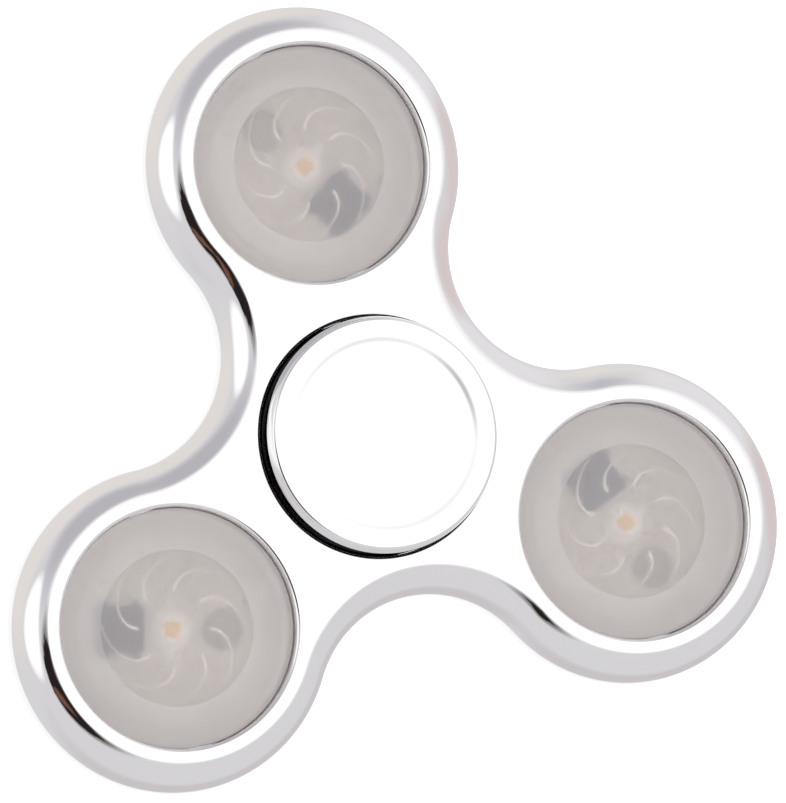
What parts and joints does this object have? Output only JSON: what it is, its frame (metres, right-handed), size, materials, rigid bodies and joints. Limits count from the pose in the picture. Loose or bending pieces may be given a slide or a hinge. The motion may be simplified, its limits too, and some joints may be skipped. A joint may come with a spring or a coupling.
{
  "type": "fidget spinner",
  "caption": "Tri-lobe hand spinner, chrome plated, turning on a ball bearing between dished finger caps, with a round press-to-switch light in each lobe.",
  "frame": {"origin": "on the spin axis, in the plane that the rear cap's rim rests on; the flat floor of the rear cap's dish is 0.12 mm above it", "axes": "+Z along the spin axis towards the front cap; +Y from the spin axis towards lobe a; +X completes the frame"},
  "size_m": [0.075, 0.069, 0.0135],
  "materials": {
    "body_chrome": "polished",
    "cap_chrome": "polished",
    "bearing_steel": "satin",
    "bearing_black": "satin",
    "cage_nylon": "matte",
    "seal_rubber": "matte",
    "lens_plastic": "satin",
    "housing_plastic": "matte",
    "circuit_board": "satin",
    "led_resin": "gloss",
    "switch_plastic": "satin",
    "chip_resin": "satin",
    "cell_steel": "satin",
    "contact_brass": "satin",
    "screw_steel": "satin"
  },
  "bodies": {
    "hub": {"front_cap": "cap_chrome", "rear_cap": "cap_chrome", "bearing_inner_race": "bearing_steel"},
    "rotor": {"frame_body": "body_chrome", "bearing_outer_race": "bearing_black", "bearing_seal_front": "seal_rubber", "bearing_seal_rear": "seal_rubber", "module_housing_a": "housing_plastic", "circuit_board_a": "circuit_board", "led_a": "led_resin", "mode_switch_a": "switch_plastic", "controller_a": "chip_resin", "coin_cell_a": "cell_steel", "battery_contact_a": "contact_brass", "battery_clip_a": "contact_brass", "battery_door_a": "housing_plastic", "battery_door_screw_a": "screw_steel", "module_housing_b": "housing_plastic", "circuit_board_b": "circuit_board", "led_b": "led_resin", "mode_switch_b": "switch_plastic", "controller_b": "chip_resin", "coin_cell_b": "cell_steel", "battery_contact_b": "contact_brass", "battery_clip_b": "contact_brass", "battery_door_b": "housing_plastic", "battery_door_screw_b": "screw_steel", "module_housing_c": "housing_plastic", "circuit_board_c": "circuit_board", "led_c": "led_resin", "mode_switch_c": "switch_plastic", "controller_c": "chip_resin", "coin_cell_c": "cell_steel", "battery_contact_c": "contact_brass", "battery_clip_c": "contact_brass", "battery_door_c": "housing_plastic", "battery_door_screw_c": "screw_steel"},
    "ball_cage": {"bearing_cage": "cage_nylon"},
    "ball_1": {"bearing_ball_1": "bearing_steel"},
    "ball_2": {"bearing_ball_2": "bearing_steel"},
    "ball_3": {"bearing_ball_3": "bearing_steel"},
    "ball_4": {"bearing_ball_4": "bearing_steel"},
    "ball_5": {"bearing_ball_5": "bearing_steel"},
    "ball_6": {"bearing_ball_6": "bearing_steel"},
    "ball_7": {"bearing_ball_7": "bearing_steel"},
    "lens_button_a": {"led_lens_a": "lens_plastic", "switch_plunger_a": "switch_plastic"},
    "lens_button_b": {"led_lens_b": "lens_plastic", "switch_plunger_b": "switch_plastic"},
    "lens_button_c": {"led_lens_c": "lens_plastic", "switch_plunger_c": "switch_plastic"}
  },
  "joints": [
    {"name": "spin", "type": "hinge", "parent": "hub", "child": "rotor", "pos_m": [0, 0, 0.00675], "axis": [0, 0, 1], "continuous": true},
    {"name": "cage_orbit", "type": "hinge", "parent": "hub", "child": "ball_cage", "pos_m": [0, 0, 0.00675], "axis": [0, 0, 1], "continuous": true},
    {"name": "ball_1_roll", "type": "hinge", "parent": "ball_cage", "child": "ball_1", "pos_m": [0, 0.0075, 0.00675], "axis": [0, 0, 1], "continuous": true},
    {"name": "ball_2_roll", "type": "hinge", "parent": "ball_cage", "child": "ball_2", "pos_m": [-0.00586, 0.00468, 0.00675], "axis": [0, 0, 1], "continuous": true},
    {"name": "ball_3_roll", "type": "hinge", "parent": "ball_cage", "child": "ball_3", "pos_m": [-0.00731, -0.00167, 0.00675], "axis": [0, 0, 1], "continuous": true},
    {"name": "ball_4_roll", "type": "hinge", "parent": "ball_cage", "child": "ball_4", "pos_m": [-0.00325, -0.00676, 0.00675], "axis": [0, 0, 1], "continuous": true},
    {"name": "ball_5_roll", "type": "hinge", "parent": "ball_cage", "child": "ball_5", "pos_m": [0.00325, -0.00676, 0.00675], "axis": [0, 0, 1], "continuous": true},
    {"name": "ball_6_roll", "type": "hinge", "parent": "ball_cage", "child": "ball_6", "pos_m": [0.00731, -0.00167, 0.00675], "axis": [0, 0, 1], "continuous": true},
    {"name": "ball_7_roll", "type": "hinge", "parent": "ball_cage", "child": "ball_7", "pos_m": [0.00586, 0.00468, 0.00675], "axis": [0, 0, 1], "continuous": true},
    {"name": "lens_press_a", "type": "slide", "parent": "rotor", "child": "lens_button_a", "axis": [0, 0, -1], "range_m": [0, 0.0003], "stiffness_N_per_m": 600},
    {"name": "lens_press_b", "type": "slide", "parent": "rotor", "child": "lens_button_b", "axis": [0, 0, -1], "range_m": [0, 0.0003], "stiffness_N_per_m": 600},
    {"name": "lens_press_c", "type": "slide", "parent": "rotor", "child": "lens_button_c", "axis": [0, 0, -1], "range_m": [0, 0.0003], "stiffness_N_per_m": 600}
  ],
  "couplings": [
    {"joint": "cage_orbit", "follows": "spin", "ratio": 0.6323},
    {"joint": "ball_1_roll", "follows": "spin", "ratio": 1.7573},
    {"joint": "ball_2_roll", "follows": "spin", "ratio": 1.7573},
    {"joint": "ball_3_roll", "follows": "spin", "ratio": 1.7573},
    {"joint": "ball_4_roll", "follows": "spin", "ratio": 1.7573},
    {"joint": "ball_5_roll", "follows": "spin", "ratio": 1.7573},
    {"joint": "ball_6_roll", "follows": "spin", "ratio": 1.7573},
    {"joint": "ball_7_roll", "follows": "spin", "ratio": 1.7573}
  ]
}
